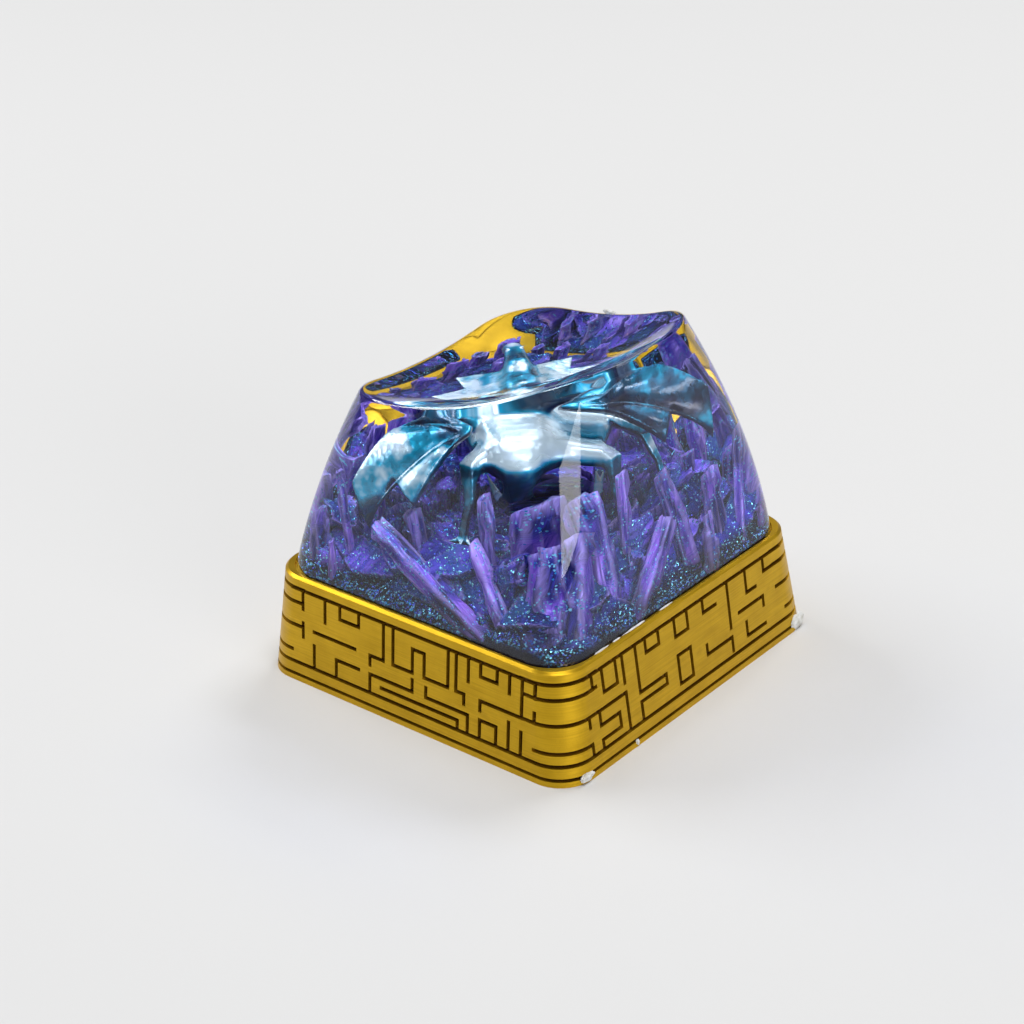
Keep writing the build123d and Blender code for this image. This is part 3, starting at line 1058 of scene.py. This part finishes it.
@dataclass
class Chunks:
    """Random chunks that rock breaks into, each lifted and tilted as a whole."""

    step: float
    tilt: float
    edge: float = 0.13
    seed: float = 31.0

    def mood(self, middle: Vector) -> Vector:
        """Three random numbers from 0 to 1 of the chunk round a middle."""
        return noise.cell_vector(middle * self.seed)

    def lift(self, spot: Vector, middle: Vector) -> float:
        """How far the chunk round a middle stands out at a spot, both measured in chunks."""
        mood = self.mood(middle) - Vector((0.5, 0.5, 0.5))
        return self.step * mood.x + self.tilt * (spot - middle).dot(mood.zxy)

    def read(self, spot: Vector) -> tuple[float, float, Vector]:
        """Find the chunk at a spot.

        Args:
            spot: A place measured in chunks.

        Returns:
            How far it stands out, how near its edge is, below 0 where the next chunk stands higher, and its
            three random numbers.
        """
        gaps, middles = noise.voronoi(spot)
        lifts = [self.lift(spot, middle) for middle in middles[:2]]
        near = max(0.0, 1 - (gaps[1] - gaps[0]) / self.edge)
        return lifts[0], near if lifts[0] > lifts[1] else -near, self.mood(middles[0])

    @staticmethod
    def store(piece: bpy.types.Object, rows: Sequence[tuple[Vector, float]]) -> None:
        """Store each corner's place in its chunk, and the chunk's tone, for the finish to read.

        Args:
            piece: The piece of rock.
            rows: For each corner, across, along and edge as a vector, and the tone.
        """
        attributes = piece.data.attributes
        for name, kind in (("rock", "FLOAT_VECTOR"), ("tone", "FLOAT")):
            attributes.new(name, kind, "POINT")
        # Both are made first, because a new attribute moves the ones before it
        rock, tones = attributes["rock"].data, attributes["tone"].data
        for (place, tone), rock_row, tone_row in zip(rows, rock, tones):
            rock_row.vector = place
            tone_row.value = tone


@dataclass
class Bed:
    """The dark glitter bed: the CAD mound and its boulders, broken into tilted chunks of streaky rock."""

    chunks: Chunks
    voxel: float = 0.096
    middle_out: float = 6.0
    size: float = 0.7
    stretch: float = 0.36
    slant: float = 0.16
    streak: float = 0.12
    fine: float = 4.0
    shift: float = 17.0
    rock_low: float = 5.35
    rock_high: float = 6.0
    wall_gap: float = 0.12
    bare_corner: Point = (-8.0, 8.0, 5.5)
    bare_reach: float = 4.5
    bare_drop: float = 0.6
    full_corner: float = 10.8
    full_blend: float = 1.5
    full_gap: float = 0.06

    @staticmethod
    def share(value: float) -> float:
        """A value held between 0 and 1."""
        return min(max(value, 0.0), 1.0)

    def bare(self, point: Vector) -> float:
        """How far the rock sinks towards the corner where the gold seat shows."""
        gap = (point - Vector(self.bare_corner)).length
        return max(0.0, 1 - gap / self.bare_reach) * self.bare_drop

    def spread(self, point: Vector, inside: float) -> Vector:
        """How far the foot of the near corner spreads, for a point that lies so deep inside the dome."""
        fill = self.share((point.x + point.y - self.full_corner) / self.full_blend)
        return Vector((1, 1, 0)).normalized() * max(0.0, inside - self.full_gap) * fill

    def strata(self, point: Vector) -> Vector:
        """Measure a point in chunks.

        Args:
            point: The point.

        Returns:
            Its way round the middle, its way out and its height.
        """
        around = self.middle_out * atan2(point.x - point.y, point.x + point.y)
        out = hypot(point.x, point.y)
        return Vector((around * self.stretch, out * self.size, point.z * self.size + around * self.slant))

    def roughen(self, piece: bpy.types.Object, dome: Dome) -> None:
        """Push the skin in and out chunk by chunk.

        Args:
            piece: The bed, in millimetres.
            dome: The dome that the rock stays inside.
        """
        normals = [corner.normal.copy() for corner in piece.data.vertices]
        rows: list[tuple[Vector, float]] = []
        for corner, normal in zip(piece.data.vertices, normals):
            spot = self.strata(corner.co)
            lift, edge, mood = self.chunks.read(spot)
            # The third value marks chunk edges, which the finish paints with a lilac highlight where raised
            # and navy shade where low
            rows.append((Vector((spot.y + spot.z + self.shift * mood.y, spot.x, edge)), mood.z))
            rise = self.share((corner.co.z - self.rock_low) / (self.rock_high - self.rock_low))
            strand = Vector((spot.x, spot.y * self.fine, spot.z * self.fine))
            lines = layered_noise(strand, layers=3) * self.streak
            inside = dome.depth(corner.co)
            room = max(0.0, inside - self.wall_gap)
            outward = normal * min((lift + lines - self.bare(corner.co)) * rise, room)
            corner.co = corner.co + self.spread(corner.co, inside) * (1 - rise) + outward
        piece.data.update()
        Chunks.store(piece, rows)

    def build(self, finish: DarkGlitter, dome: Dome) -> bpy.types.Object:
        """Melt the CAD form into one fine skin and break it into chunks above the deck.

        Args:
            finish: The glitter resin.
            dome: The dome over the bed.

        Returns:
            The piece.
        """
        piece = Bench.node_copy("glitter_bed", "rocky_bed")
        Bench.apply(piece, "REMESH", mode="VOXEL", voxel_size=self.voxel)
        Bench.apply(piece, "SMOOTH", factor=0.5, iterations=2)
        self.roughen(piece, dome)
        Bench.smooth(piece, angle=35)
        return Bench.finish(piece, Slot.GLITTER, finish.material(), ["glitter_bed"])


@dataclass
class Dragon:
    """The winged figure: the CAD form made smooth, with swelling lobes between the bones of its wings."""

    voxel: float = 0.062
    rounds: int = 7
    arch_middle: Point = (1.992, 0.0, 8.514)
    arch_radius: float = 4.25
    bone_start: tuple[float, float] = (0.913, 2.241)
    lobe_angles: tuple[float, ...] = (178.0, 200.3, 231.5, 247.3, 262.0)
    lobe_swell: float = 0.46
    lobe_start: float = 0.6
    lobe_fade: float = 1.6
    lobe_full: float = 26.0
    skin: float = 0.6
    wing_raise: float = 24.0
    body_middle: Point = (0.996, 0.996, 11.213)
    body_half: float = 1.9
    body_low: float = 9.6
    side_slope: float = 2.5
    low_slope: float = 2.0
    body_rounds: int = 160
    spine_lean: float = 22.0
    spine_slim: float = 0.3
    spine: tuple[Point, ...] = (
        (1.2, 12.45, 0.5),
        (0.5, 12.6, 0.56),
        (-0.2, 12.65, 0.6),
        (-0.9, 12.55, 0.56),
        (-1.6, 12.45, 0.5),
        (-2.2, 12.5, 0.44),
        (-2.8, 12.5, 0.38),
    )

    def lobe(self, point: Vector) -> Vector:
        """Swell one wing, in the place of the lower wing.

        Args:
            point: A point of the figure.

        Returns:
            The moved point.
        """
        middle = Vector(self.arch_middle)
        away = Vector((point.x - middle.x, 0, point.z - middle.z))
        if abs(away.length - self.arch_radius) > self.skin or away.x + away.z < 0:
            return point
        across = point.y - self.bone_start[0]
        up = (away.z - away.x) / sqrt(2) - self.bone_start[1]
        angle = (atan2(up, across) * 180 / pi) % 360
        reach = hypot(across, up)
        for low, high in zip(self.lobe_angles, self.lobe_angles[1:]):
            if low < angle < high and reach > self.lobe_start:
                share = (angle - low) / (high - low)
                fade = min(1.0, (reach - self.lobe_start) / self.lobe_fade)
                size = min(1.0, (high - low) / self.lobe_full)
                return point + away.normalized() * (self.lobe_swell * sqrt(sin(pi * share)) * fade * size)
        return point

    def swollen(self, point: Vector) -> Vector:
        """Swell both wings. The raised wing is the lower one's mirror image, turned about the body.

        Args:
            point: A point of the figure.

        Returns:
            The moved point.
        """
        lowered = self.lobe(point)
        if (lowered - point).length > 0:
            return lowered
        pivot = Vector(self.body_middle)
        turn = Quaternion((1, 1, 0), radians(self.wing_raise))
        level = pivot + turn.inverted() @ (point - pivot)
        moved = self.lobe(Vector((level.y, level.x, level.z)))
        return pivot + turn @ (Vector((moved.y, moved.x, moved.z)) - pivot)

    def build(self, finish: PearlTeal) -> bpy.types.Object:
        """Join the CAD form and its spines, melt them into one skin and smooth it.

        Args:
            finish: The paint.

        Returns:
            The piece.
        """
        parts = [Bench.node_copy("dragon_figure", "pearl_dragon")]
        for place, height, size in self.spine:
            Bench.clear()
            bpy.ops.mesh.primitive_cone_add(
                vertices=6,
                radius1=self.spine_slim * size,
                depth=size,
                location=(place, place, height),
                rotation=(radians(self.spine_lean), radians(-self.spine_lean), 0),
            )
            parts.append(bpy.context.object)
        piece = Bench.join(parts, "pearl_dragon")
        Bench.apply(piece, "REMESH", mode="VOXEL", voxel_size=self.voxel, use_smooth_shade=True)
        group = piece.vertex_groups.new(name="body")
        for corner in piece.data.vertices:
            off_middle = abs(corner.co.x - corner.co.y) / sqrt(2)
            beside = self.side_slope * (self.body_half - off_middle)
            above = self.low_slope * (corner.co.z - self.body_low)
            weight = min(1.0, beside, above)
            if weight > 0:
                group.add([corner.index], weight, "REPLACE")
        Bench.apply(piece, "SMOOTH", factor=0.5, iterations=self.body_rounds, vertex_group="body")
        Bench.apply(piece, "SMOOTH", factor=0.5, iterations=self.rounds)
        piece.vertex_groups.clear()
        Bench.move(piece, self.swollen)
        Bench.smooth(piece, angle=70)
        return Bench.finish(piece, Slot.TEAL, finish.material(), ["dragon_figure"])


@dataclass
class Crystals:
    """The violet shards: the CAD forms, chipped and streaked along their length."""

    chunks: Chunks
    cuts: int = 11
    chip_across: float = 1.3
    chip_along: float = 0.55
    front: float = 3.0
    front_swell: float = 0.1
    streak: float = 0.06
    fine: float = 2.0
    shift: float = 5.0
    edge: float = 0.16

    def shards(self) -> Iterator[str]:
        """The CAD nodes of the shards, in order."""
        return (node for node in sorted(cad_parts) if node.startswith("crystal_"))

    @staticmethod
    def edge_gap(point: Vector, start: Vector, end: Vector) -> float:
        """Measure how far a point is from an edge.

        Args:
            point: The point.
            start: One end of the edge.
            end: Its other end.

        Returns:
            The gap in millimetres.
        """
        along = end - start
        share = min(max((point - start).dot(along) / along.length_squared, 0.0), 1.0)
        return (start + along * share - point).length

    @staticmethod
    def sharp_edges(piece: bpy.types.Object, angle: float = 20.0) -> list[tuple[Vector, Vector]]:
        """Find a piece's sharp edges.

        Args:
            piece: The piece.
            angle: The least turn between two faces, in degrees.

        Returns:
            Both ends of each edge.
        """
        normals: dict[tuple[int, int], list[Vector]] = {}
        for face in piece.data.polygons:
            for pair in face.edge_keys:
                normals.setdefault(pair, []).append(face.normal)
        corners = piece.data.vertices
        return [
            (corners[low].co.copy(), corners[high].co.copy())
            for (low, high), pair in normals.items()
            if len(pair) == 2 and pair[0].angle(pair[1], 0.0) > radians(angle)
        ]

    @staticmethod
    def long_axis(piece: bpy.types.Object) -> Vector:
        """Find the direction between the two corners of a piece that are furthest apart.

        Args:
            piece: The piece.

        Returns:
            The direction, upwards.
        """
        corners = [corner.co for corner in piece.data.vertices]
        pairs = ((low, high) for low in corners for high in corners)
        low, high = max(pairs, key=lambda pair: (pair[0] - pair[1]).length)
        axis = (high - low).normalized()
        return axis if axis.z >= 0 else -axis

    def roughen(self, piece: bpy.types.Object, axis: Vector, edges: list[tuple[Vector, Vector]]) -> None:
        """Cut a shard finely, chip it and push its faces in and out in streaks along it.

        Args:
            piece: The shard, in millimetres.
            axis: The shard's direction.
            edges: Ends of its sharp edges.
        """
        Bench.edit(piece)
        bpy.ops.mesh.quads_convert_to_tris()
        bpy.ops.mesh.subdivide(number_cuts=self.cuts)
        Bench.close()
        side = axis.orthogonal().normalized()
        other = axis.cross(side)
        middle = sum((corner.co for corner in piece.data.vertices), Vector()) / len(piece.data.vertices)
        swell = self.front_swell if middle.x + middle.y > self.front else 0.0
        normals = [corner.normal.copy() for corner in piece.data.vertices]
        rows: list[tuple[Vector, float]] = []
        for corner, normal in zip(piece.data.vertices, normals):
            point = corner.co
            across = point.dot(side) * self.chip_across
            over = point.dot(other) * self.chip_across
            spot = Vector((across, over, point.dot(axis) * self.chip_along))
            lift, chip, mood = self.chunks.read(spot)
            gap = min((self.edge_gap(point, *edge) for edge in edges), default=1.0)
            near = max(0.0, 1 - gap / self.edge)
            # The third value marks sharp edges and chip edges, which the finish paints with a lilac
            # highlight where raised and navy shade below a higher chip
            rows.append((Vector((spot.x + spot.y + self.shift * mood.y, spot.z, max(near, chip))), mood.z))
            strand = Vector((spot.x * self.fine, spot.y * self.fine, spot.z))
            lines = layered_noise(strand, layers=4) * self.streak
            corner.co = point + normal * (lift + lines + swell)
        piece.data.update()
        Chunks.store(piece, rows)

    def build_shard(self, node: str, material: bpy.types.Material) -> bpy.types.Object:
        """Build one shard in the place of its CAD node.

        Args:
            node: The CAD node.
            material: The shards' material.

        Returns:
            The piece.
        """
        piece = Bench.node_copy(node, node.replace("crystal", "shard"))
        self.roughen(piece, self.long_axis(piece), self.sharp_edges(piece))
        Bench.smooth(piece, angle=28)
        return Bench.finish(piece, Slot.PURPLE, material, [node])

    def build(self, finish: VioletPearl) -> None:
        """Build every shard.

        Args:
            finish: The paint.
        """
        material = finish.material()
        for node in self.shards():
            self.build_shard(node, material)


@dataclass
class ResinFlash:
    """Cured resin left over from casting: a broken line along the dome's seam and crumbs at the foot."""

    flakes: tuple[tuple[Point, Point], ...] = (
        ((5.6, 8.34, 5.215), (0.42, 0.045, 0.035)),
        ((4.55, 8.34, 5.215), (0.24, 0.04, 0.03)),
        ((3.3, 8.34, 5.215), (0.75, 0.045, 0.035)),
        ((1.05, 8.34, 5.215), (0.45, 0.04, 0.03)),
        ((7.75, 9.08, 0.26), (0.42, 0.12, 0.2)),
        ((4.3, 9.1, 0.2), (0.1, 0.1, 0.14)),
        ((-8.0, 9.05, 0.4), (0.5, 0.14, 0.36)),
        ((-6.04, 0.0, 14.57), (0.1, 0.34, 0.12)),
    )
    ragged: float = 0.35
    lumps: float = 1.6

    def build(self, finish: Flash) -> bpy.types.Object:
        """Make each flake from a ball, stretched and left ragged.

        Args:
            finish: The cured resin.

        Returns:
            The piece.
        """
        crumbs: list[bpy.types.Object] = []
        for middle, reach in self.flakes:
            Bench.clear()
            bpy.ops.mesh.primitive_ico_sphere_add(subdivisions=4, radius=1.0)
            crumb = bpy.context.object
            spot = Vector(middle)
            for corner in crumb.data.vertices:
                swell = 1 + self.ragged * layered_noise(corner.co * self.lumps + spot, layers=3, fall=0.8)
                corner.co = spot + Vector(size * part * swell for size, part in zip(reach, corner.co))
            crumbs.append(crumb)
        piece = Bench.join(crumbs, "resin_flash")
        Bench.smooth(piece, angle=60)
        return Bench.finish(piece, Slot.RESIN, finish.material())


@dataclass(frozen=True)
class Lamp:
    """A soft lamp that faces the object: its place and size in metres and its power in watts."""

    name: str
    place: Point
    width: float
    height: float
    power: float
    aim: Point = (0.0, 0.0, 0.008)

    def hang(self) -> None:
        """Hang the lamp."""
        data = bpy.data.lights.new(self.name, "AREA")
        data.shape = "RECTANGLE"
        data.size = self.width
        data.size_y = self.height
        data.energy = self.power
        lamp = bpy.data.objects.new(self.name, data)
        lamp.location = self.place
        way = Vector(self.aim) - Vector(self.place)
        lamp.rotation_euler = way.to_track_quat("-Z", "Y").to_euler()
        bpy.context.scene.collection.objects.link(lamp)


@dataclass
class Studio:
    """Plain pale floor, soft light and a camera where the photograph was taken from."""

    azimuth: float = 131.65
    elevation: float = 27.67
    roll: float = -3.19
    distance: float = 109.18
    aim_height: float = 7.0
    aim_right: float = -0.93
    aim_up: float = -0.12
    lens: float = 84.375
    sensor: float = 36.0
    floor_size: float = 6.0
    floor_grey: float = 0.62
    sky: float = 0.12
    lamps: tuple[Lamp, ...] = (
        Lamp("over", (0.03, 0.06, 0.36), 0.16, 0.16, 0.75),
        Lamp("front", (0.083, 0.285, 0.07), 0.19, 0.10, 0.36),
        Lamp("left_rim", (0.06, -0.26, 0.20), 0.26, 0.06, 0.6),
        Lamp("right_rim", (-0.22, 0.0, 0.245), 0.18, 0.06, 0.45),
    )

    def camera(self) -> None:
        """Place the camera."""
        turn, lift, lean = radians(self.azimuth), radians(self.elevation), radians(self.roll)
        back = Vector((sin(turn) * cos(lift), -cos(turn) * cos(lift), sin(lift)))
        level = Vector((cos(turn), sin(turn), 0))
        over = back.cross(level)
        right = cos(lean) * level + sin(lean) * over
        up = -sin(lean) * level + cos(lean) * over
        aim = Vector((0, 0, self.aim_height)) + right * self.aim_right + up * self.aim_up
        data = bpy.data.cameras.new("camera")
        data.lens = self.lens
        data.sensor_width = self.sensor
        data.clip_start = MM
        camera = bpy.data.objects.new("camera", data)
        spot = (aim + back * self.distance) * MM
        camera.matrix_world = Matrix.Translation(spot) @ Matrix((right, up, back)).transposed().to_4x4()
        bpy.context.scene.collection.objects.link(camera)
        bpy.context.scene.camera = camera

    def build(self) -> None:
        """Build the floor, the light and the camera."""
        Bench.clear()
        bpy.ops.mesh.primitive_plane_add(size=self.floor_size)
        floor = bpy.context.object
        floor.name = "floor"
        paint = Paint("pale_floor")
        grey = (self.floor_grey,) * 3
        floor.data.materials.append(paint.finish(paint.principled(Base_Color=grey, Roughness=0.75)))
        world = bpy.data.worlds.new("studio")
        world.use_nodes = True
        background = world.node_tree.nodes["Background"]
        background.inputs["Color"].default_value = (1.0, 1.0, 1.0, 1.0)
        background.inputs["Strength"].default_value = self.sky
        bpy.context.scene.world = world
        for lamp in self.lamps:
            lamp.hang()
        self.camera()
        bpy.context.scene.view_settings.view_transform = "Standard"


def main() -> None:
    """Build the keycap piece by piece, then the studio."""
    logging.basicConfig(level=logging.INFO, format="%(message)s")
    Skirt.from_frame().build(GoldPaint())
    dome = Dome.from_frame()
    Bed(Chunks(step=0.9, tilt=1.1)).build(DarkGlitter(), dome)
    Dragon().build(PearlTeal())
    Crystals(Chunks(step=0.2, tilt=0.35)).build(VioletPearl())
    dome.build(ClearResin())
    ResinFlash().build(Flash())
    Studio().build()


if __name__ == "__main__":
    main()
